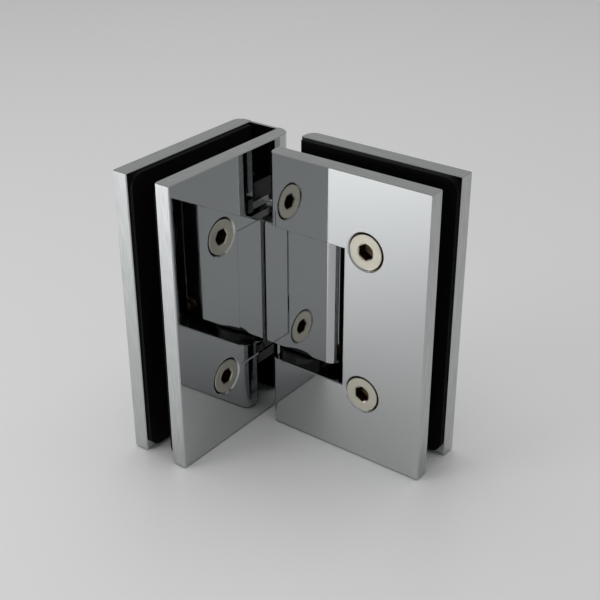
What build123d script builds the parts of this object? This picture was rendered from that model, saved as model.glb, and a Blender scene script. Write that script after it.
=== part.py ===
"""Polished glass-to-glass shower hinge, 90 degrees between the glass panels.

Millimetres, +Z up. The hinge stands on the lower edges of its plates at z = 0, with the
origin under the middle of its outline. The fixed leaf runs towards -Y and shows its
front face to +X. The door leaf runs towards +X, shows its front face to -Y and swings
about the vertical spindle.
"""

import os
from math import hypot

from build123d import *

# Clamp plates
plate_height = 90.0
plate_thickness = 5.0
leaf_reach = 46.2
door_tail = 7.3
edge_chamfer = 0.25
tail_round = 3.2
door_front_round = 2.0
front_tail_round = 4.4
lip_thickness = 1.0
lip_gap = 0.1

# Glass slot
glass_thickness = 8.0
gasket_thickness = 1.2
gasket_inset = 0.8
gasket_corner = 4.0
gasket_gap = 0.6

# Notch in the plates and clearances
notch_height = 44.4
notch_reach = 19.0
swing_clearance = 0.32
hairline = 0.16
running_clearance = 0.05
axial_clearance = 0.3
upper_ear_gap = 1.0
lower_ear_gap = 2.8

# Clamp screws
clamp_screw_setback = 7.0
clamp_screw_spacing = 46.0
clamp_thread_diameter = 6.0
clamp_head_diameter = 11.6
clamp_socket_width = 4.0
clamp_socket_depth = 2.4
countersink_angle = 90.0
head_rim_gap = 0.2
clear_hole_gap = 0.25
thread_gap = 0.05
thread_engagement = 3.6

# Pivot block
bore_wall = 1.55
tongue_tip = 14.2
nose_round = 3.3
tongue_chamfer = 0.4
base_recess = 0.3
root_groove_width = 1.1
root_groove_depth = 1.2
flange_ear = 8.8
flange_overlap = 1.4
block_screw_diameter = 4.0
block_head_diameter = 7.4
block_socket_width = 2.5
block_socket_depth = 1.5
block_screw_near = 14.0
block_screw_far = 0.0

# Spindle and what locates it
flat_depth = 0.3
grip_height = 2.8
grip_length = 12.0
spindle_tail_diameter = 7.0
spindle_tail_length = 6.0
saddle_reach = 8.0
saddle_inset = 0.6
saddle_round = 1.0
upper_washer_wall = 0.85
lower_washer_wall = 4.0

# Self-centring catch
catch_spacing = 20.0
catch_bore_diameter = 6.0
plunger_length = 7.0
plunger_tip_chamfer = 0.6
spigot_diameter = 3.0
spigot_length = 2.5
spring_wire_width = 0.8
spring_wire_height = 0.6
spring_coil_gap = 0.25
spring_turns = 3
plug_length = 4.0
plug_socket_width = 3.0
plug_socket_depth = 2.0
plug_inset = 0.2
catch_flat_margin = 2.0

# Worked out from the sizes above
slot_width = glass_thickness + 2 * gasket_thickness
leaf_thickness = 2 * plate_thickness + slot_width
sharpest_round = min(tail_round, door_front_round)
tail_sweep = (
    hypot(door_tail - sharpest_round, leaf_thickness / 2 - sharpest_round) + sharpest_round
)
axis_to_fixed_face = tail_sweep + swing_clearance
spindle_diameter = slot_width + 2 * flat_depth
spindle_bore = spindle_diameter + 2 * running_clearance
tongue_thickness = spindle_bore + 2 * bore_wall
tongue_bottom = lower_ear_gap - notch_height / 2
tongue_height = notch_height - lower_ear_gap - upper_ear_gap
tongue_top = tongue_bottom + tongue_height
fixed_tail = tongue_thickness / 2 + hairline
base_face_height = notch_height - 2 * hairline
flange_height = notch_height + 2 * flange_ear
flange_reach = notch_reach + flange_overlap
flange_tail = fixed_tail - lip_thickness - hairline
grip_top = notch_height / 2 + grip_height
spindle_top = grip_top + spindle_tail_length
mid_height = plate_height / 2

# Depths behind the pivot axis on the fixed leaf, towards -X
fixed_slot_front = axis_to_fixed_face + plate_thickness
fixed_slot_back = fixed_slot_front + slot_width

# The pivot axis, with the whole outline centred on the origin
pivot_x = (axis_to_fixed_face + leaf_thickness - leaf_reach) / 2
pivot_y = (leaf_reach - leaf_thickness / 2) / 2
pivot = (pivot_x, pivot_y, mid_height)

# Sketch frames on the pivot axis at mid height. x runs to the leaf's free end, y is up.
# The door leaf's z points at its front, the fixed leaf's z points at its back.
door_frame = Plane(origin=pivot, x_dir=(1, 0, 0), z_dir=(0, -1, 0))
fixed_frame = Plane(origin=pivot, x_dir=(0, -1, 0), z_dir=(-1, 0, 0))
plan_frame = Plane(origin=pivot, x_dir=(1, 0, 0), z_dir=(0, 0, 1))

clamp_screw_reach = notch_reach + clamp_screw_setback
clamp_screw_points = [
    (clamp_screw_reach, clamp_screw_spacing / 2),
    (clamp_screw_reach, -clamp_screw_spacing / 2),
]
flange_ear_middle = (flange_height + notch_height) / 4
block_screw_points = [
    (reach, side * flange_ear_middle)
    for reach in (block_screw_near, block_screw_far)
    for side in (1, -1)
]
catch_points = [(0, catch_spacing / 2), (0, -catch_spacing / 2)]


def plate_profile(tail: float, notched: bool) -> None:
    """Draw a plate from its tail to its free end in the open sketch, with or without its notch."""
    with Locations(((leaf_reach - tail) / 2, 0)):
        Rectangle(leaf_reach + tail, plate_height)
    if notched:
        with Locations(((notch_reach - tail) / 2, 0)):
            Rectangle(notch_reach + tail, notch_height, mode=Mode.SUBTRACT)


def gasket_profile(start: float, held_height: float) -> None:
    """Draw a gasket, rounded at its free end and notched round what the leaf holds in its slot."""
    end = leaf_reach - gasket_inset
    gasket_height = plate_height - 2 * gasket_inset
    with Locations(((end + start - gasket_corner) / 2, 0)):
        RectangleRounded(end - start + gasket_corner, gasket_height, gasket_corner)
    with Locations((start - gasket_corner / 2, 0)):
        Rectangle(gasket_corner, gasket_height, mode=Mode.SUBTRACT)
    notch_end = flange_reach + gasket_gap
    with Locations(((notch_end + start) / 2, 0)):
        Rectangle(notch_end - start, held_height + 2 * gasket_gap, mode=Mode.SUBTRACT)
    with Locations(*clamp_screw_points):
        Circle(clamp_thread_diameter / 2 + clear_hole_gap, mode=Mode.SUBTRACT)


def socket_screw(
    top: Plane, thread: float, head: float, length: float, socket_width: float, socket_depth: float
) -> None:
    """Add a countersunk screw to the open part, with its head's face on the given plane.

    The plane's z points out of the head.
    """
    head_height = (head - thread) / 2
    section = Plane(origin=top.origin, x_dir=top.x_dir, z_dir=top.y_dir)
    with BuildSketch(section) as half_profile:
        with BuildLine():
            Polyline(
                (0, 0),
                (head / 2, 0),
                (thread / 2, head_height),
                (thread / 2, length),
                (0, length),
                close=True,
            )
        make_face()
    revolve(half_profile.sketch, axis=Axis(top.origin, top.z_dir))
    with BuildSketch(top) as socket:
        RegularPolygon(socket_width / 2, 6, major_radius=False)
    extrude(socket.sketch, amount=-socket_depth, mode=Mode.SUBTRACT)


def break_edges(plate: BuildPart, through: Axis) -> None:
    """Chamfer the rims of a plate's two broad faces and its four outer corners."""
    broad = plate.faces().sort_by(through)
    ends = plate.edges().filter_by(through)
    corners = [
        edge
        for edge in ends
        if abs(abs(edge.center().Z - mid_height) - plate_height / 2) < edge_chamfer
    ]
    chamfer([*broad[0].edges(), *broad[-1].edges(), *corners], edge_chamfer)


# Fixed leaf: front clamp plate, notched round the pivot block

with BuildPart() as fixed_inner_plate:
    with BuildSketch(fixed_frame.offset(axis_to_fixed_face)):
        plate_profile(fixed_tail, notched=True)
    extrude(amount=plate_thickness)
    front_tail_edges = (
        fixed_inner_plate.edges().filter_by(Axis.Z).group_by(Axis.Y)[-1].group_by(Axis.X)[-1]
    )
    fillet(front_tail_edges, front_tail_round)
    break_edges(fixed_inner_plate, Axis.X)
    with Locations(fixed_frame.offset(axis_to_fixed_face)):
        with Locations(*clamp_screw_points):
            with Locations(Rotation(180, 0, 0)):
                CounterSinkHole(
                    clamp_thread_diameter / 2 + clear_hole_gap,
                    clamp_head_diameter / 2 + head_rim_gap,
                    depth=plate_thickness,
                    counter_sink_angle=countersink_angle,
                )
fixed_inner_plate.part.label = "fixed_inner_plate"

# Fixed leaf: back clamp plate with the return lip that closes the slot

with BuildPart() as fixed_outer_plate:
    with BuildSketch(fixed_frame.offset(fixed_slot_back)):
        plate_profile(fixed_tail, notched=False)
    extrude(amount=plate_thickness)
    back_tail_edges = (
        fixed_outer_plate.edges().filter_by(Axis.Z).group_by(Axis.Y)[-1].group_by(Axis.X)[0]
    )
    fillet(back_tail_edges, tail_round)
    break_edges(fixed_outer_plate, Axis.X)
    with BuildSketch(fixed_frame.offset(fixed_slot_front + lip_gap)):
        with Locations((lip_thickness / 2 - fixed_tail, 0)):
            Rectangle(lip_thickness, plate_height - 2 * edge_chamfer)
    extrude(amount=slot_width - lip_gap + edge_chamfer)
    with BuildSketch(fixed_frame.offset(fixed_slot_back)):
        with Locations(*clamp_screw_points):
            Circle(clamp_thread_diameter / 2 + thread_gap)
        with Locations(*block_screw_points):
            Circle(block_screw_diameter / 2 + thread_gap)
    extrude(amount=thread_engagement + hairline, mode=Mode.SUBTRACT)
fixed_outer_plate.part.label = "fixed_outer_plate"

# Fixed leaf: gaskets on the inner faces of both plates

fixed_gasket_start = gasket_gap - flange_tail

with BuildPart() as fixed_inner_gasket:
    with BuildSketch(fixed_frame.offset(fixed_slot_front)):
        gasket_profile(fixed_gasket_start, flange_height)
    extrude(amount=gasket_thickness)
fixed_inner_gasket.part.label = "fixed_inner_gasket"

with BuildPart() as fixed_outer_gasket:
    with BuildSketch(fixed_frame.offset(fixed_slot_back - gasket_thickness)):
        gasket_profile(fixed_gasket_start, flange_height)
    extrude(amount=gasket_thickness)
fixed_outer_gasket.part.label = "fixed_outer_gasket"

# Fixed leaf: clamp screws from the front plate into the back plate

clamp_screw_length = plate_thickness + slot_width + thread_engagement
fixed_screw_faces = fixed_frame.offset(axis_to_fixed_face)

with BuildPart() as fixed_clamp_screws:
    for reach, height in clamp_screw_points:
        socket_screw(
            Plane(fixed_screw_faces.from_local_coords((reach, height, 0)), z_dir=(1, 0, 0)),
            clamp_thread_diameter,
            clamp_head_diameter,
            clamp_screw_length,
            clamp_socket_width,
            clamp_socket_depth,
        )
fixed_clamp_screws.part.label = "fixed_clamp_screws"

# Pivot block: tongue with a rounded nose, base in the fixed plate's notch, flange in the slot

with BuildPart() as pivot_block:
    with BuildSketch(plan_frame.offset(tongue_bottom)):
        with Locations(((tongue_tip - fixed_slot_front) / 2, 0)):
            Rectangle(tongue_tip + fixed_slot_front, tongue_thickness)
    extrude(amount=tongue_height)
    fillet(pivot_block.edges().filter_by(Axis.Z).group_by(Axis.X)[-1], nose_round)
    chamfer(pivot_block.faces().filter_by(Axis.Z).edges(), tongue_chamfer)
    base_face = axis_to_fixed_face + base_recess
    with BuildSketch(plan_frame.offset(-base_face_height / 2)):
        with Locations(
            (
                -(base_face + fixed_slot_front) / 2,
                (tongue_thickness / 2 - notch_reach + hairline) / 2,
            )
        ):
            Rectangle(
                fixed_slot_front - base_face,
                notch_reach - hairline + tongue_thickness / 2,
            )
        with Locations(
            (-base_face - root_groove_depth / 2, -(tongue_thickness + root_groove_width) / 2)
        ):
            Rectangle(root_groove_depth, root_groove_width, mode=Mode.SUBTRACT)
    extrude(amount=base_face_height)
    with BuildSketch(fixed_frame.offset(fixed_slot_front)):
        with Locations(((flange_reach - flange_tail) / 2, 0)):
            Rectangle(flange_reach + flange_tail, flange_height)
    extrude(amount=slot_width)
    with BuildSketch(plan_frame.offset(tongue_bottom)):
        Circle(spindle_bore / 2)
    extrude(amount=tongue_height, mode=Mode.SUBTRACT)
    with BuildSketch(fixed_frame):
        with Locations(*catch_points):
            Circle(catch_bore_diameter / 2)
    extrude(amount=fixed_slot_back, mode=Mode.SUBTRACT)
    with Locations(fixed_frame.offset(fixed_slot_front)):
        with Locations(*block_screw_points):
            with Locations(Rotation(180, 0, 0)):
                CounterSinkHole(
                    block_screw_diameter / 2 + clear_hole_gap,
                    block_head_diameter / 2 + head_rim_gap,
                    depth=slot_width,
                    counter_sink_angle=countersink_angle,
                )
pivot_block.part.label = "pivot_block"

# Screws that hold the block's flange to the back plate, under the front plate

with BuildPart() as block_screws:
    for reach, height in block_screw_points:
        socket_screw(
            Plane(
                fixed_frame.offset(fixed_slot_front + hairline / 2).from_local_coords((reach, height, 0)),
                z_dir=(1, 0, 0),
            ),
            block_screw_diameter,
            block_head_diameter,
            slot_width + thread_engagement - hairline,
            block_socket_width,
            block_socket_depth,
        )
block_screws.part.label = "block_screws"

# Self-centring catch: plungers on the spindle's flats, springs and plugs behind them

plunger_tip = spindle_diameter / 2 + 2 * running_clearance
plunger_back = plunger_tip + plunger_length
plug_back = fixed_slot_back - plug_inset
plug_front = plug_back - plug_length

with BuildPart() as detent_plungers:
    with BuildSketch(fixed_frame.offset(plunger_tip)):
        with Locations(*catch_points):
            Circle(catch_bore_diameter / 2 - running_clearance)
    extrude(amount=plunger_length)
    chamfer(detent_plungers.edges().group_by(Axis.X)[-1], plunger_tip_chamfer)
    with BuildSketch(fixed_frame.offset(plunger_back)):
        with Locations(*catch_points):
            Circle(spigot_diameter / 2)
    extrude(amount=spigot_length)
detent_plungers.part.label = "detent_plungers"

spring_coil_radius = (catch_bore_diameter - spring_wire_width) / 2 - spring_coil_gap
spring_length = plug_front - plunger_back - spring_wire_height
spring_seat = fixed_frame.offset(plunger_back + spring_wire_height / 2)

with BuildPart() as detent_springs:
    for reach, height in catch_points:
        spring_start = spring_seat.from_local_coords((reach, height, 0))
        with BuildLine() as coil:
            Helix(
                spring_length / spring_turns,
                spring_length,
                spring_coil_radius,
                center=spring_start,
                direction=(-1, 0, 0),
            )
        wire_start = coil.line @ 0
        with BuildSketch(Plane(wire_start, x_dir=wire_start - spring_start, z_dir=coil.line % 0)):
            Rectangle(spring_wire_width, spring_wire_height)
        sweep(path=coil.line, is_frenet=True)
detent_springs.part.label = "detent_springs"

with BuildPart() as spring_plugs:
    with BuildSketch(fixed_frame.offset(plug_front)):
        with Locations(*catch_points):
            Circle(catch_bore_diameter / 2 - running_clearance)
    extrude(amount=plug_length)
    with BuildSketch(fixed_frame.offset(plug_back)):
        with Locations(*catch_points):
            RegularPolygon(plug_socket_width / 2, 6, major_radius=False)
    extrude(amount=-plug_socket_depth, mode=Mode.SUBTRACT)
spring_plugs.part.label = "spring_plugs"

# Door leaf: clamp plates, both notched round the tongue

door_front = leaf_thickness / 2
door_slot_front = slot_width / 2

with BuildPart() as door_inner_plate:
    with BuildSketch(door_frame.offset(door_slot_front)):
        plate_profile(door_tail, notched=True)
    extrude(amount=plate_thickness)
    inner_tail_edges = (
        door_inner_plate.edges().filter_by(Axis.Z).group_by(Axis.X)[0].group_by(Axis.Y)[0]
    )
    fillet(inner_tail_edges, door_front_round)
    break_edges(door_inner_plate, Axis.Y)
    with Locations(door_frame.offset(door_front)):
        with Locations(*clamp_screw_points):
            CounterSinkHole(
                clamp_thread_diameter / 2 + clear_hole_gap,
                clamp_head_diameter / 2 + head_rim_gap,
                depth=plate_thickness,
                counter_sink_angle=countersink_angle,
            )
door_inner_plate.part.label = "door_inner_plate"

with BuildPart() as door_outer_plate:
    with BuildSketch(door_frame.offset(-door_front)):
        plate_profile(door_tail, notched=True)
    extrude(amount=plate_thickness)
    outer_tail_edges = (
        door_outer_plate.edges().filter_by(Axis.Z).group_by(Axis.X)[0].group_by(Axis.Y)[-1]
    )
    fillet(outer_tail_edges, tail_round)
    break_edges(door_outer_plate, Axis.Y)
    with BuildSketch(door_frame.offset(-door_slot_front)):
        with Locations(*clamp_screw_points):
            Circle(clamp_thread_diameter / 2 + thread_gap)
    extrude(amount=-(thread_engagement + hairline), mode=Mode.SUBTRACT)
door_outer_plate.part.label = "door_outer_plate"

# Door leaf: gaskets

door_gasket_start = gasket_inset - door_tail

with BuildPart() as door_inner_gasket:
    with BuildSketch(door_frame.offset(door_slot_front - gasket_thickness)):
        gasket_profile(door_gasket_start, 2 * spindle_top)
    extrude(amount=gasket_thickness)
door_inner_gasket.part.label = "door_inner_gasket"

with BuildPart() as door_outer_gasket:
    with BuildSketch(door_frame.offset(-door_slot_front)):
        gasket_profile(door_gasket_start, 2 * spindle_top)
    extrude(amount=gasket_thickness)
door_outer_gasket.part.label = "door_outer_gasket"

# Door leaf: clamp screws

with BuildPart() as door_clamp_screws:
    for reach, height in clamp_screw_points:
        socket_screw(
            Plane(
                door_frame.offset(door_front).from_local_coords((reach, height, 0)), z_dir=(0, -1, 0)
            ),
            clamp_thread_diameter,
            clamp_head_diameter,
            clamp_screw_length,
            clamp_socket_width,
            clamp_socket_depth,
        )
door_clamp_screws.part.label = "door_clamp_screws"

# Spindle: round in the block, flats for the catch, square heads between the ears, turned-down ends

catch_flat_height = catch_spacing + catch_bore_diameter + 2 * catch_flat_margin
flat_distance = slot_width / 2

with BuildPart() as spindle:
    with BuildSketch(plan_frame.offset(-notch_height / 2)):
        Circle(spindle_diameter / 2)
    extrude(amount=notch_height)
    with Locations(plan_frame):
        with Locations((flat_distance + flat_depth, 0), (-flat_distance - flat_depth, 0)):
            Box(2 * flat_depth, spindle_diameter, catch_flat_height, mode=Mode.SUBTRACT)
        head_middle = (grip_top + notch_height / 2) / 2
        with Locations((0, 0, head_middle), (0, 0, -head_middle)):
            Box(grip_length, slot_width, grip_height)
    with BuildSketch(plan_frame.offset(-spindle_top)):
        Circle(spindle_tail_diameter / 2)
    extrude(amount=2 * spindle_top)
spindle.part.label = "spindle"

# Saddles that centre the spindle's ends between the ears


def saddle(start: float) -> None:
    """Add a saddle to the open part, from the given height above the middle."""
    with BuildSketch(plan_frame.offset(start)) as outline:
        saddle_tail = door_tail - saddle_inset
        with Locations(((saddle_reach - saddle_tail) / 2, 0)):
            RectangleRounded(saddle_reach + saddle_tail, slot_width, saddle_round)
        Circle(spindle_tail_diameter / 2 + running_clearance, mode=Mode.SUBTRACT)
    extrude(outline.sketch, amount=spindle_tail_length)


with BuildPart() as upper_saddle:
    saddle(grip_top)
upper_saddle.part.label = "upper_saddle"

with BuildPart() as lower_saddle:
    saddle(-spindle_top)
lower_saddle.part.label = "lower_saddle"

# Thrust washers between the tongue and the ears


def washer(start: float, ear_gap: float, wall: float) -> None:
    """Add a washer for one gap to the open part, from the given height above the middle."""
    with BuildSketch(plan_frame.offset(start)) as ring:
        Circle(spindle_bore / 2 + wall)
        Circle(spindle_bore / 2, mode=Mode.SUBTRACT)
    extrude(ring.sketch, amount=ear_gap - axial_clearance)


with BuildPart() as upper_thrust_washer:
    washer(tongue_top, upper_ear_gap, upper_washer_wall)
upper_thrust_washer.part.label = "upper_thrust_washer"

with BuildPart() as lower_thrust_washer:
    washer(-notch_height / 2, lower_ear_gap, lower_washer_wall)
lower_thrust_washer.part.label = "lower_thrust_washer"

os.makedirs("parts", exist_ok=True)
for piece in (
    fixed_inner_plate,
    fixed_outer_plate,
    fixed_inner_gasket,
    fixed_outer_gasket,
    fixed_clamp_screws,
    pivot_block,
    block_screws,
    detent_plungers,
    detent_springs,
    spring_plugs,
    upper_thrust_washer,
    door_inner_plate,
    door_outer_plate,
    door_inner_gasket,
    door_outer_gasket,
    door_clamp_screws,
    spindle,
    upper_saddle,
    lower_saddle,
    lower_thrust_washer,
):
    export_step(piece.part, f"parts/{piece.part.label}.step")
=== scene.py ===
"""Looks of a polished 90 degree glass-to-glass shower hinge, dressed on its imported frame.

Everything is in metres in the frame's own axes: the fixed leaf shows its front to +X, the
door leaf shows its front to -Y, and the spindle between them is vertical.
"""

import logging
import math
from abc import ABC, abstractmethod
from dataclasses import dataclass, field, replace
from enum import Enum
from typing import Any, ClassVar

import bmesh
import bpy
from mathutils import Matrix, Vector


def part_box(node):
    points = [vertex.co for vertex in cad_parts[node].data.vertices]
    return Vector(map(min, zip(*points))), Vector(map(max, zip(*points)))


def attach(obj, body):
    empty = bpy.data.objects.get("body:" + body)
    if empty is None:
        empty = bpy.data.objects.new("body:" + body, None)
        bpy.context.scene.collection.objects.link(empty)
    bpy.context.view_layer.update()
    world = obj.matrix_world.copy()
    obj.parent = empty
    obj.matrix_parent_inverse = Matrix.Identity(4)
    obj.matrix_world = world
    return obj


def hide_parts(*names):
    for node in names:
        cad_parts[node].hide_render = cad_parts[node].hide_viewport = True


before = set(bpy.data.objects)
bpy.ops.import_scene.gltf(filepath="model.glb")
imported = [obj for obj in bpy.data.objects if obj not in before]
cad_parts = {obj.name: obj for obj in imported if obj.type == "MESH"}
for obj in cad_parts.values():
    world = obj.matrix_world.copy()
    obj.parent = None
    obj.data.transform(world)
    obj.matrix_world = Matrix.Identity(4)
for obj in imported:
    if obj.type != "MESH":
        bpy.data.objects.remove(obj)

log = logging.getLogger("shower_hinge")

MM = 0.001


class Body(Enum):
    """The two leaves that move as one body each."""

    FIXED = "fixed_leaf"
    DOOR = "door_leaf"


class Slot(Enum):
    """The record's material slots, named here but given to no piece."""

    CHROME = "polished_chrome"
    SCREW = "screw_steel"
    ACETAL = "black_acetal"


class Across(Enum):
    """The direction through a plate's thickness, or none on a piece that is no plate."""

    NONE = (0.0, 0.0, 0.0)
    X = (1.0, 0.0, 0.0)
    Y = (0.0, 1.0, 0.0)


def linear(hex_colour: str) -> tuple[float, float, float, float]:
    """Turn an sRGB hex colour into the linear colour that a shader takes.

    Args:
        hex_colour: Six hex digits, with or without a leading hash.

    Returns:
        Linear red, green, blue and an alpha of 1.
    """
    digits = hex_colour.lstrip("#")
    channels = [int(digits[i : i + 2], 16) / 255 for i in (0, 2, 4)]
    red, green, blue = (c / 12.92 if c <= 0.04045 else ((c + 0.055) / 1.055) ** 2.4 for c in channels)
    return red, green, blue, 1.0


def add_node(
    tree: bpy.types.NodeTree,
    kind: str,
    inputs: dict[str | int, Any] | None = None,
    **settings: Any,
) -> bpy.types.Node:
    """Add a node with its settings, and set or link its inputs.

    Args:
        tree: The shader or geometry tree.
        kind: The node's type name.
        inputs: Values or output sockets, by input name or number.
        settings: The node's own properties.

    Returns:
        The new node.
    """
    node = tree.nodes.new(kind)
    for name, value in settings.items():
        setattr(node, name, value)
    for key, value in (inputs or {}).items():
        if isinstance(value, bpy.types.NodeSocket):
            tree.links.new(value, node.inputs[key])
        else:
            node.inputs[key].default_value = value
    return node


def per_metre(size_mm: float) -> float:
    """Give the texture scale that repeats a pattern every so many millimetres."""
    return 1.0 / (size_mm * MM)


@dataclass(frozen=True)
class Finish(ABC):
    """A surface finish that can be made into a material."""

    name: str
    colour: str
    roughness: float

    def material(self) -> bpy.types.Material:
        """Return the finish's material, made the first time it is asked for."""
        found = bpy.data.materials.get(self.name)
        if found:
            return found
        made = bpy.data.materials.new(self.name)
        made.use_nodes = True
        tree = made.node_tree
        tree.nodes.clear()
        shader = add_node(
            tree,
            "ShaderNodeBsdfPrincipled",
            {"Base Color": linear(self.colour), "Roughness": self.roughness},
        )
        add_node(tree, "ShaderNodeOutputMaterial", {"Surface": shader.outputs["BSDF"]})
        self.detail(tree, shader)
        return made

    @abstractmethod
    def detail(self, tree: bpy.types.NodeTree, shader: bpy.types.Node) -> None:
        """Add the finish's own pattern to its shader.

        Args:
            tree: The material's node tree.
            shader: The Principled shader in it.
        """


@dataclass(frozen=True)
class PolishedChrome(Finish):
    """Brass, buffed and plated with bright chromium: a cool mirror with faint wipe marks.

    A plate also has fine lines along its narrow edges. A plate with no glass to clamp stands a
    little askew on its screws: the lean is its slope along each axis, and only what the plate
    mirrors shows it. Each span holds the two values between which a pattern fades in.
    """

    hazy_roughness: float = 0.06
    wipe_mm: float = 14.0
    wipe_span: tuple[float, float] = (0.35, 0.75)
    across: Across = Across.NONE
    edge_span: tuple[float, float] = (0.2, 0.5)
    line_mm: float = 0.3
    line_length_mm: float = 7.0
    line_span: tuple[float, float] = (0.3, 0.7)
    line_dark: str = "#ADAFB0"
    line_bright: str = "#C4C6C7"
    lean: tuple[float, float, float] = (0.0, 0.0, 0.0)

    def detail(self, tree: bpy.types.NodeTree, shader: bpy.types.Node) -> None:
        """Make the gloss vary softly, as buffing and handling leave it.

        Args:
            tree: The material's node tree.
            shader: The Principled shader in it.
        """
        shader.inputs["Metallic"].default_value = 1.0
        place = add_node(tree, "ShaderNodeTexCoord")
        wipes = add_node(
            tree,
            "ShaderNodeTexNoise",
            {
                "Vector": place.outputs["Object"],
                "Scale": per_metre(self.wipe_mm),
                "Detail": 4.0,
                "Distortion": 0.6,
            },
        )
        gloss = add_node(
            tree,
            "ShaderNodeMapRange",
            {
                "Value": wipes.outputs["Fac"],
                "From Min": self.wipe_span[0],
                "From Max": self.wipe_span[1],
                "To Min": self.roughness,
                "To Max": self.hazy_roughness,
            },
        )
        tree.links.new(gloss.outputs["Result"], shader.inputs["Roughness"])
        if self.across is not Across.NONE:
            self.linished_edges(tree, shader, place)
        if any(self.lean):
            self.askew(tree, shader, place)

    def askew(self, tree: bpy.types.NodeTree, shader: bpy.types.Node, place: bpy.types.Node) -> None:
        """Lean the mirror by its slope.

        Args:
            tree: The material's node tree.
            shader: The Principled shader in it.
            place: The texture coordinates.
        """
        rise = add_node(
            tree,
            "ShaderNodeVectorMath",
            {0: place.outputs["Object"], 1: self.lean},
            operation="DOT_PRODUCT",
        )
        leant = add_node(
            tree,
            "ShaderNodeBump",
            {"Height": rise.outputs["Value"], "Strength": 1.0, "Distance": 1.0},
        )
        tree.links.new(leant.outputs["Normal"], shader.inputs["Normal"])

    def linished_edges(
        self, tree: bpy.types.NodeTree, shader: bpy.types.Node, place: bpy.types.Node
    ) -> None:
        """Draw the lines that the linishing belt leaves along a plate's narrow edges.

        They are drawn coarser than a belt's grit, so that they show.

        Args:
            tree: The material's node tree.
            shader: The Principled shader in it.
            place: The texture coordinates.
        """
        stretch = self.line_mm / self.line_length_mm
        along = add_node(
            tree,
            "ShaderNodeMapping",
            {
                "Vector": place.outputs["Object"],
                "Scale": tuple(max(part, stretch) for part in self.across.value),
            },
        )
        lines = add_node(
            tree,
            "ShaderNodeTexNoise",
            {"Vector": along.outputs["Vector"], "Scale": per_metre(self.line_mm), "Detail": 2.0},
        )
        depth = add_node(
            tree,
            "ShaderNodeMapRange",
            {
                "Value": lines.outputs["Fac"],
                "From Min": self.line_span[0],
                "From Max": self.line_span[1],
            },
        )
        lined = add_node(
            tree,
            "ShaderNodeMixRGB",
            {
                "Fac": depth.outputs["Result"],
                "Color1": linear(self.line_dark),
                "Color2": linear(self.line_bright),
            },
        )
        facing = add_node(
            tree,
            "ShaderNodeVectorMath",
            {0: place.outputs["Normal"], 1: self.across.value},
            operation="DOT_PRODUCT",
        )
        broad = add_node(tree, "ShaderNodeMath", {0: facing.outputs["Value"]}, operation="ABSOLUTE")
        mask = add_node(
            tree,
            "ShaderNodeMapRange",
            {
                "Value": broad.outputs["Value"],
                "From Min": self.edge_span[0],
                "From Max": self.edge_span[1],
            },
        )
        colour = add_node(
            tree,
            "ShaderNodeMixRGB",
            {
                "Fac": mask.outputs["Result"],
                "Color1": lined.outputs["Color"],
                "Color2": linear(self.colour),
            },
        )
        tree.links.new(colour.outputs["Color"], shader.inputs["Base Color"])


@dataclass(frozen=True)
class TurnedSteel(Finish):
    """Steel screws with a faced head: satin, with fine rings round the axis, and painted shade below the
    face that darkens the sockets.
    """

    WAVE_PERIOD: ClassVar[float] = 2 * math.pi / 20

    ring_mm: float = 0.35
    ring_depth_mm: float = 0.003
    ring_strength: float = 0.5
    # Painted shade: the colour that stands in for the shade in each socket
    socket_shade_colour: str = "#66543F"
    face_mm: float = 0.1
    blend_mm: float = 0.3

    def detail(self, tree: bpy.types.NodeTree, shader: bpy.types.Node) -> None:
        """Cut facing rings round each screw's own axis, and paint shade below its face, so that the
        socket shows dark.

        The rings are drawn coarser than a real facing cut, so that they show. The wave texture
        repeats once in its own period at a scale of 1.

        Args:
            tree: The material's node tree.
            shader: The Principled shader in it.
        """
        shader.inputs["Metallic"].default_value = 1.0
        turned = add_node(tree, "ShaderNodeAttribute", attribute_name=ScrewRow.TURNED)
        spot = add_node(tree, "ShaderNodeSeparateXYZ", {"Vector": turned.outputs["Vector"]})
        # Painted shade: below the head's face, in the socket above all, the colour turns dark
        painted_socket_shade = add_node(
            tree,
            "ShaderNodeMapRange",
            {
                "Value": spot.outputs["Z"],
                "From Min": -self.face_mm * MM,
                "From Max": -(self.face_mm + self.blend_mm) * MM,
            },
        )
        stock_and_socket_shade = add_node(
            tree,
            "ShaderNodeMixRGB",
            {
                "Fac": painted_socket_shade.outputs["Result"],
                "Color1": linear(self.colour),
                "Color2": linear(self.socket_shade_colour),
            },
        )
        tree.links.new(stock_and_socket_shade.outputs["Color"], shader.inputs["Base Color"])
        rings = add_node(
            tree,
            "ShaderNodeTexWave",
            {
                "Vector": turned.outputs["Vector"],
                "Scale": self.WAVE_PERIOD * per_metre(self.ring_mm),
                "Distortion": 0.4,
                "Detail": 1.0,
            },
            wave_type="RINGS",
            rings_direction="Z",
        )
        cut = add_node(
            tree,
            "ShaderNodeBump",
            {
                "Height": rings.outputs["Fac"],
                "Strength": self.ring_strength,
                "Distance": self.ring_depth_mm * MM,
            },
        )
        tree.links.new(cut.outputs["Normal"], shader.inputs["Normal"])


@dataclass(frozen=True)
class Moulded(Finish):
    """A moulded black rubber or plastic: nearly black, with the mould's fine grain."""

    grain_mm: float = 0.5
    grain_depth_mm: float = 0.02
    grain_strength: float = 0.6
    gloss: float = 0.3

    def detail(self, tree: bpy.types.NodeTree, shader: bpy.types.Node) -> None:
        """Raise the mould's grain.

        Args:
            tree: The material's node tree.
            shader: The Principled shader in it.
        """
        shader.inputs["Specular IOR Level"].default_value = self.gloss
        place = add_node(tree, "ShaderNodeTexCoord")
        grain = add_node(
            tree,
            "ShaderNodeTexNoise",
            {"Vector": place.outputs["Object"], "Scale": per_metre(self.grain_mm), "Detail": 2.0},
        )
        raised = add_node(
            tree,
            "ShaderNodeBump",
            {
                "Height": grain.outputs["Fac"],
                "Strength": self.grain_strength,
                "Distance": self.grain_depth_mm * MM,
            },
        )
        tree.links.new(raised.outputs["Normal"], shader.inputs["Normal"])


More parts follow.
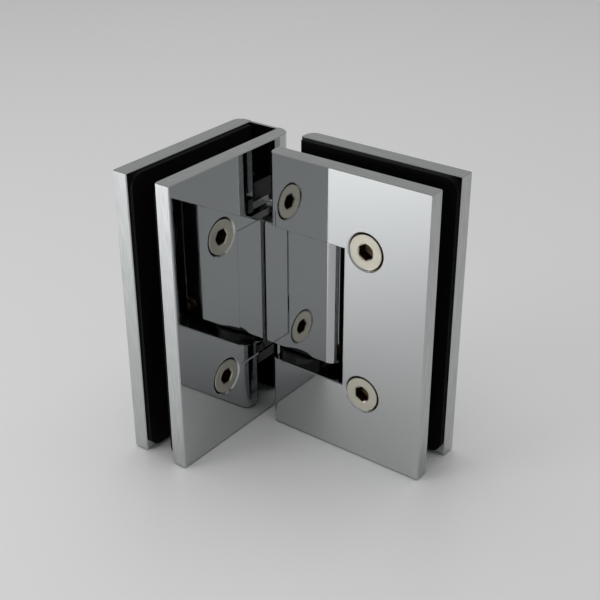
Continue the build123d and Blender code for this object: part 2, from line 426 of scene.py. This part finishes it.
@dataclass(frozen=True)
class DrawnSteel(Finish):
    """Drawn or ground steel wire and pins: grey, with fine draw lines along X."""

    line_mm: float = 0.2
    line_length_mm: float = 4.0
    bright_share: float = 0.8
    dull_share: float = 1.3

    def detail(self, tree: bpy.types.NodeTree, shader: bpy.types.Node) -> None:
        """Stretch a fine noise along X into draw lines.

        Args:
            tree: The material's node tree.
            shader: The Principled shader in it.
        """
        shader.inputs["Metallic"].default_value = 1.0
        place = add_node(tree, "ShaderNodeTexCoord")
        along = add_node(
            tree,
            "ShaderNodeMapping",
            {
                "Vector": place.outputs["Object"],
                "Scale": (self.line_mm / self.line_length_mm, 1.0, 1.0),
            },
        )
        lines = add_node(
            tree,
            "ShaderNodeTexNoise",
            {"Vector": along.outputs["Vector"], "Scale": per_metre(self.line_mm), "Detail": 1.0},
        )
        worn = add_node(
            tree,
            "ShaderNodeMapRange",
            {
                "Value": lines.outputs["Fac"],
                "To Min": self.roughness * self.bright_share,
                "To Max": self.roughness * self.dull_share,
            },
        )
        tree.links.new(worn.outputs["Result"], shader.inputs["Roughness"])


# Bright chromium over buffed brass: a cool grey mirror, a little hazy where it was wiped
CHROME = PolishedChrome("polished_chrome_plating", "#BABCBD", 0.02)
# The same on a plate, whose narrow edges keep the belt's fine lines
DOOR_CHROME = replace(CHROME, name="polished_chrome_door_plate", across=Across.Y)
FIXED_CHROME = replace(CHROME, name="polished_chrome_fixed_plate", across=Across.X)
# The fixed leaf's front plate, which no glass holds square
LOOSE_CHROME = replace(FIXED_CHROME, name="polished_chrome_loose_plate", lean=(0.0, -0.024, -0.008))
# Faced steel: warm satin heads, with painted shade that makes the sockets nearly black
SCREW_STEEL = TurnedSteel("faced_blackened_steel", "#C4C0B3", 0.3)
# Pressed rubber: a dead black that takes no highlight
RUBBER = Moulded("moulded_epdm_rubber", "#030303", 0.7, gloss=0.12)
# Acetal from a polished mould: black, with soft highlights
ACETAL = Moulded("moulded_black_acetal", "#040405", 0.2, grain_mm=0.3, grain_depth_mm=0.002)
# Drawn wire and ground pins: plain grey steel with a low shine
SPRING = DrawnSteel("drawn_spring_steel", "#A9A8A4", 0.25)


def smooth_by_angle(shape: bmesh.types.BMesh, sharp_deg: float) -> None:
    """Shade a mesh smooth, with its edges sharp where they turn more than an angle.

    Args:
        shape: The mesh.
        sharp_deg: The angle, in degrees.
    """
    limit = math.radians(sharp_deg)
    for edge in shape.edges:
        edge.smooth = edge.is_manifold and edge.calc_face_angle(math.pi) < limit
    for face in shape.faces:
        face.smooth = True


def new_piece(
    name: str, mesh: bpy.types.Mesh, finish: Finish, body: Body
) -> bpy.types.Object:
    """Put a finished mesh in the scene as a piece that rides on a leaf.

    Args:
        name: The piece's name.
        mesh: Its mesh, in place.
        finish: Its finish.
        body: The leaf that carries it.

    Returns:
        The piece.
    """
    piece = bpy.data.objects.new(name, mesh)
    bpy.context.scene.collection.objects.link(piece)
    mesh.materials.clear()
    mesh.materials.append(finish.material())
    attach(piece, body.value)
    log.info("%s rides on %s, %d faces", name, body.value, len(mesh.polygons))
    return piece


@dataclass
class ScrewRow:
    """A vertical row of countersunk hex socket screws, with cut threads, on one leaf."""

    TURNED: ClassVar[str] = "turned"

    name: str
    node: str
    body: Body
    outward: Vector
    cone_diameter: float = 11.6 * MM
    head_diameter: float = 10.5 * MM
    thread_diameter: float = 6.0 * MM
    thread_pitch: float = 1.0 * MM
    socket_width: float = 4.4 * MM
    socket_turn_deg: float = 0.0
    socket_depth: float = 3.4 * MM
    socket_lead: float = 0.25 * MM
    rim_chamfer: float = 0.12 * MM
    point_chamfer: float = 0.6 * MM
    drill_point: float = 0.8 * MM
    spacing: float = 46.0 * MM
    count: int = 2
    segments: int = 60
    thread_segments: int = 24
    ridge_sides: int = 4
    sharp_deg: float = 18.0

    @property
    def core_radius(self) -> float:
        """The radius at the bottom of the thread."""
        return self.thread_diameter / 2 - self.thread_pitch / 2

    @property
    def length(self) -> float:
        """The screw's length, as the frame's solids have it."""
        low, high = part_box(self.node)
        return max(abs(component) for component in (high - low) * Vector(map(abs, self.outward)))

    def hex_radius(self, angle: float) -> float:
        """Give the socket's radius at an angle.

        Args:
            angle: The angle round the screw's axis, in radians.

        Returns:
            The distance from the axis to the hexagon.
        """
        sixth = math.pi / 3
        turned = angle - math.radians(self.socket_turn_deg)
        return self.socket_width / 2 / math.cos(turned % sixth - sixth / 2)

    def blank(self) -> bpy.types.Object:
        """Build one screw without its thread, its head's face at z = 0 and its point down.

        Returns:
            The screw as an object outside the scene.
        """
        head = self.head_diameter / 2
        thread = self.thread_diameter / 2
        corner = self.socket_width / math.sqrt(3)
        head_height = self.cone_diameter / 2 - thread
        land = (self.cone_diameter - self.head_diameter) / 2
        runout = thread - self.core_radius
        hexagon = self.hex_radius
        rings = [
            (-self.socket_depth, hexagon),
            (-self.socket_lead, hexagon),
            (0.0, corner + self.socket_lead / 2),
            (0.0, head - self.rim_chamfer),
            (-self.rim_chamfer, head),
            (-land, head),
            (-head_height, thread),
            (-head_height - runout, self.core_radius),
            (self.point_chamfer - self.length, self.core_radius),
            (-self.length, self.core_radius - self.point_chamfer),
        ]
        shape = bmesh.new()
        loops = []
        for height, radius in rings:
            loop = []
            for step in range(self.segments):
                angle = 2 * math.pi * step / self.segments
                reach = radius(angle) if callable(radius) else radius
                loop.append(shape.verts.new((reach * math.cos(angle), reach * math.sin(angle), height)))
            loops.append(loop)
        bottom = shape.verts.new((0, 0, -self.socket_depth - self.drill_point))
        point = shape.verts.new((0, 0, -self.length))
        for step in range(self.segments):
            following = (step + 1) % self.segments
            for inner, outer in zip(loops, loops[1:]):
                shape.faces.new((inner[step], outer[step], outer[following], inner[following]))
            shape.faces.new((bottom, loops[0][step], loops[0][following]))
            shape.faces.new((point, loops[-1][following], loops[-1][step]))
        bmesh.ops.recalc_face_normals(shape, faces=shape.faces)
        smooth_by_angle(shape, self.sharp_deg)
        mesh = bpy.data.meshes.new(self.name + "_blank")
        shape.to_mesh(mesh)
        shape.free()
        return bpy.data.objects.new(mesh.name, mesh)

    def tree(self) -> bpy.types.NodeTree:
        """Build the node tree that threads the blank and sets out the row.

        Returns:
            The geometry node tree.
        """
        tree = bpy.data.node_groups.new(self.name, "GeometryNodeTree")
        for label, kind in (
            ("Blank", "NodeSocketObject"),
            ("Count", "NodeSocketInt"),
            ("Spacing", "NodeSocketFloat"),
            ("Thread Turns", "NodeSocketFloat"),
            ("Thread Length", "NodeSocketFloat"),
            ("Thread Top", "NodeSocketVector"),
            ("Core Radius", "NodeSocketFloat"),
            ("Ridge Radius", "NodeSocketFloat"),
            ("Material", "NodeSocketMaterial"),
        ):
            tree.interface.new_socket(label, in_out="INPUT", socket_type=kind)
        tree.interface.new_socket("Screws", in_out="OUTPUT", socket_type="NodeSocketGeometry")
        given = add_node(tree, "NodeGroupInput").outputs
        blank = add_node(tree, "GeometryNodeObjectInfo", {"Object": given["Blank"]})
        helix = add_node(
            tree,
            "GeometryNodeCurveSpiral",
            {
                "Resolution": self.thread_segments,
                "Rotations": given["Thread Turns"],
                "Start Radius": given["Core Radius"],
                "End Radius": given["Core Radius"],
                "Height": given["Thread Length"],
            },
        )
        ridge = add_node(
            tree,
            "GeometryNodeCurvePrimitiveCircle",
            {"Resolution": self.ridge_sides, "Radius": given["Ridge Radius"]},
        )
        cut = add_node(
            tree,
            "GeometryNodeCurveToMesh",
            {"Curve": helix.outputs["Curve"], "Profile Curve": ridge.outputs["Curve"], "Fill Caps": True},
        )
        flat = add_node(
            tree, "GeometryNodeSetShadeSmooth", {"Geometry": cut.outputs["Mesh"], "Shade Smooth": False}
        )
        seated = add_node(
            tree,
            "GeometryNodeTransform",
            {"Geometry": flat.outputs["Geometry"], "Translation": given["Thread Top"]},
        )
        screw = add_node(tree, "GeometryNodeJoinGeometry")
        tree.links.new(seated.outputs["Geometry"], screw.inputs["Geometry"])
        tree.links.new(blank.outputs["Geometry"], screw.inputs["Geometry"])
        place = add_node(tree, "GeometryNodeInputPosition")
        turned = add_node(
            tree,
            "GeometryNodeStoreNamedAttribute",
            {
                "Geometry": screw.outputs["Geometry"],
                "Name": self.TURNED,
                "Value": place.outputs["Position"],
            },
            data_type="FLOAT_VECTOR",
            domain="POINT",
        )
        step = add_node(tree, "ShaderNodeCombineXYZ", {"Y": given["Spacing"]})
        line = add_node(
            tree, "GeometryNodeMeshLine", {"Count": given["Count"], "Offset": step.outputs["Vector"]}
        )
        row = add_node(
            tree,
            "GeometryNodeInstanceOnPoints",
            {"Points": line.outputs["Mesh"], "Instance": turned.outputs["Geometry"]},
        )
        real = add_node(tree, "GeometryNodeRealizeInstances", {"Geometry": row.outputs["Instances"]})
        dressed = add_node(
            tree,
            "GeometryNodeSetMaterial",
            {"Geometry": real.outputs["Geometry"], "Material": given["Material"]},
        )
        add_node(tree, "NodeGroupOutput", {"Screws": dressed.outputs["Geometry"]})
        return tree

    def build(self) -> bpy.types.Object:
        """Make the row, put it in its countersinks and dress it.

        Returns:
            The piece that stands for the frame's plain screws.
        """
        blank = self.blank()
        tree = self.tree()
        carrier = bpy.data.objects.new(self.name + "_row", bpy.data.meshes.new(self.name + "_row"))
        bpy.context.scene.collection.objects.link(carrier)
        modifier = carrier.modifiers.new("screws", "NODES")
        modifier.node_group = tree
        ridge = self.thread_pitch / 2
        thread_top = (self.thread_diameter - self.cone_diameter) / 2 - 2 * ridge
        thread_length = self.length + thread_top - self.point_chamfer - ridge
        values = {
            "Blank": blank,
            "Count": self.count,
            "Spacing": self.spacing,
            "Thread Turns": thread_length / self.thread_pitch,
            "Thread Length": thread_length,
            "Thread Top": (0.0, 0.0, thread_top - thread_length),
            "Core Radius": self.core_radius,
            "Ridge Radius": ridge,
            "Material": SCREW_STEEL.material(),
        }
        for socket in tree.interface.items_tree:
            if socket.in_out == "INPUT":
                modifier[socket.identifier] = values[socket.name]
        bpy.context.view_layer.update()
        evaluated = carrier.evaluated_get(bpy.context.evaluated_depsgraph_get())
        mesh = bpy.data.meshes.new_from_object(evaluated)
        carrier.modifiers.remove(modifier)
        for spent in (carrier, blank):
            bpy.data.objects.remove(spent)
        mesh.transform(self.seat())
        piece = new_piece(self.name, mesh, SCREW_STEEL, self.body)
        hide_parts(self.node)
        return piece

    def seat(self) -> Matrix:
        """Work out where the row's lowest head lies on its plate.

        Returns:
            The matrix from the row's own axes to the frame's.
        """
        low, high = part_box(self.node)
        middle = (low + high) / 2
        upward = Vector((0, 0, 1))
        side = upward.cross(self.outward)
        face = middle + self.outward * self.length / 2
        start = face - upward * self.spacing * (self.count - 1) / 2
        turn = Matrix((side, upward, self.outward)).transposed()
        return Matrix.Translation(start) @ turn.to_4x4()


@dataclass
class Leaf:
    """One leaf's plates, gaskets and screws, dressed round the frame's solids."""

    body: Body
    screws: ScrewRow
    chrome_nodes: dict[str, PolishedChrome]
    rubber_nodes: tuple[str, ...]
    acetal_nodes: tuple[str, ...] = ()
    spring_nodes: tuple[str, ...] = ()
    merge_distance: float = 0.0005 * MM
    sharp_deg: float = 24.0

    def polished(self, node: str, finish: Finish) -> bpy.types.Object:
        """Stand a seamless, evenly shaded copy of a solid in the solid's own place.

        Args:
            node: The frame's node.
            finish: The piece's finish.

        Returns:
            The piece.
        """
        shape = bmesh.new()
        shape.from_mesh(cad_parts[node].data)
        bmesh.ops.remove_doubles(shape, verts=shape.verts, dist=self.merge_distance)
        smooth_by_angle(shape, self.sharp_deg)
        mesh = bpy.data.meshes.new("polished_" + node)
        shape.to_mesh(mesh)
        shape.free()
        piece = new_piece(mesh.name, mesh, finish, self.body)
        even = piece.modifiers.new("even_normals", "WEIGHTED_NORMAL")
        even.mode = "FACE_AREA"
        even.keep_sharp = True
        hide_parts(node)
        return piece

    def dress(self, node: str, finish: Finish) -> None:
        """Give a solid that stays as it is its finish.

        Args:
            node: The frame's node.
            finish: Its finish.
        """
        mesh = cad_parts[node].data
        mesh.materials.clear()
        mesh.materials.append(finish.material())
        log.info("%s stays, in %s", node, finish.name)

    def build(self) -> list[bpy.types.Object]:
        """Build and dress all of the leaf.

        Returns:
            The pieces that stand for solids.
        """
        pieces = [
            self.polished(node, chrome) for node, chrome in self.chrome_nodes.items()
        ]
        pieces += [self.polished(node, ACETAL) for node in self.acetal_nodes]
        for node in self.rubber_nodes:
            self.dress(node, RUBBER)
        for node in self.spring_nodes:
            self.dress(node, SPRING)
        pieces.append(self.screws.build())
        return pieces


@dataclass(frozen=True)
class Softbox:
    """A soft rectangular lamp that faces the hinge: its middle and size in metres, its power in watts."""

    name: str
    place: tuple[float, float, float]
    size: tuple[float, float]
    power: float

    def hang(self) -> None:
        """Hang the lamp in the scene."""
        light = bpy.data.lights.new(self.name, "AREA")
        light.shape = "RECTANGLE"
        light.size, light.size_y = self.size
        light.energy = self.power
        lamp = bpy.data.objects.new(self.name, light)
        lamp.location = self.place
        lamp.rotation_euler = (-Vector(self.place)).to_track_quat("-Z", "Y").to_euler()
        bpy.context.scene.collection.objects.link(lamp)


@dataclass
class Studio:
    """The pale floor, the soft lamps and the camera at the photograph's angle."""

    camera_place: Vector = field(default_factory=lambda: Vector((174.3, -228.5, 204.1)) * MM)
    heading_deg: float = 36.92
    pitch_deg: float = 28.114
    roll_deg: float = -0.155
    lens_mm: float = 68.63
    sensor_mm: float = 36.0
    floor_size: float = 60.0
    floor_drop: float = 0.4 * MM
    floor_colour: str = "#DCDCDC"
    floor_roughness: float = 0.34
    surround_colour: str = "#AFB0AF"
    lamps: tuple[Softbox, ...] = (
        Softbox("overhead_softbox", (-0.12, 0.06, 0.85), (0.85, 0.85), 3.45),
        Softbox("left_softbox", (-0.305, -0.44, 0.14), (0.26, 0.16), 0.97),
    )

    def camera(self) -> None:
        """Set up the camera where the photograph was taken from."""
        lens = bpy.data.cameras.new("camera")
        lens.lens = self.lens_mm
        lens.sensor_width = self.sensor_mm
        lens.clip_start = MM
        camera = bpy.data.objects.new("camera", lens)
        bpy.context.scene.collection.objects.link(camera)
        turn = (
            Matrix.Rotation(math.radians(self.heading_deg), 4, "Z")
            @ Matrix.Rotation(math.radians(90 - self.pitch_deg), 4, "X")
            @ Matrix.Rotation(math.radians(self.roll_deg), 4, "Z")
        )
        camera.matrix_world = Matrix.Translation(self.camera_place) @ turn
        bpy.context.scene.camera = camera

    def floor(self) -> None:
        """Lay the pale floor under the hinge, a hair below its broken edges."""
        shape = bmesh.new()
        bmesh.ops.create_grid(shape, x_segments=1, y_segments=1, size=self.floor_size / 2)
        mesh = bpy.data.meshes.new("floor")
        bmesh.ops.translate(shape, verts=shape.verts, vec=(0, 0, -self.floor_drop))
        shape.to_mesh(mesh)
        shape.free()
        floor = bpy.data.objects.new("floor", mesh)
        bpy.context.scene.collection.objects.link(floor)
        material = bpy.data.materials.new("matt_white_laminate")
        material.use_nodes = True
        shader = material.node_tree.nodes["Principled BSDF"]
        shader.inputs["Base Color"].default_value = linear(self.floor_colour)
        shader.inputs["Roughness"].default_value = self.floor_roughness
        mesh.materials.append(material)

    def light(self) -> None:
        """Set the surroundings and the lamps."""
        world = bpy.data.worlds.new("surroundings")
        world.use_nodes = True
        world.node_tree.nodes["Background"].inputs["Color"].default_value = linear(self.surround_colour)
        bpy.context.scene.world = world
        for lamp in self.lamps:
            lamp.hang()

    def build(self) -> None:
        """Set up all of the studio."""
        bpy.context.scene.view_settings.view_transform = "Standard"
        self.floor()
        self.light()
        self.camera()


def main() -> None:
    """Build the studio and both leaves."""
    logging.basicConfig(level=logging.INFO, format="%(name)s: %(message)s")
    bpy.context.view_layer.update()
    Studio().build()
    fixed_leaf = Leaf(
        Body.FIXED,
        ScrewRow("fixed_socket_screws", "fixed_clamp_screws", Body.FIXED, Vector((1, 0, 0))),
        chrome_nodes={
            "fixed_inner_plate": LOOSE_CHROME,
            "fixed_outer_plate": FIXED_CHROME,
            "pivot_block": CHROME,
        },
        rubber_nodes=("fixed_inner_gasket", "fixed_outer_gasket"),
        acetal_nodes=("upper_thrust_washer",),
        spring_nodes=("block_screws", "detent_plungers", "detent_springs", "spring_plugs"),
    )
    door_leaf = Leaf(
        Body.DOOR,
        ScrewRow(
            "door_socket_screws",
            "door_clamp_screws",
            Body.DOOR,
            Vector((0, -1, 0)),
            socket_turn_deg=30.0,
        ),
        chrome_nodes={"door_inner_plate": DOOR_CHROME, "door_outer_plate": DOOR_CHROME},
        rubber_nodes=("door_inner_gasket", "door_outer_gasket"),
        acetal_nodes=("upper_saddle", "lower_saddle", "lower_thrust_washer"),
        spring_nodes=("spindle",),
    )
    for leaf in (fixed_leaf, door_leaf):
        log.info("%s carries %d pieces of the scene", leaf.body.value, len(leaf.build()))


if __name__ == "__main__":
    main()
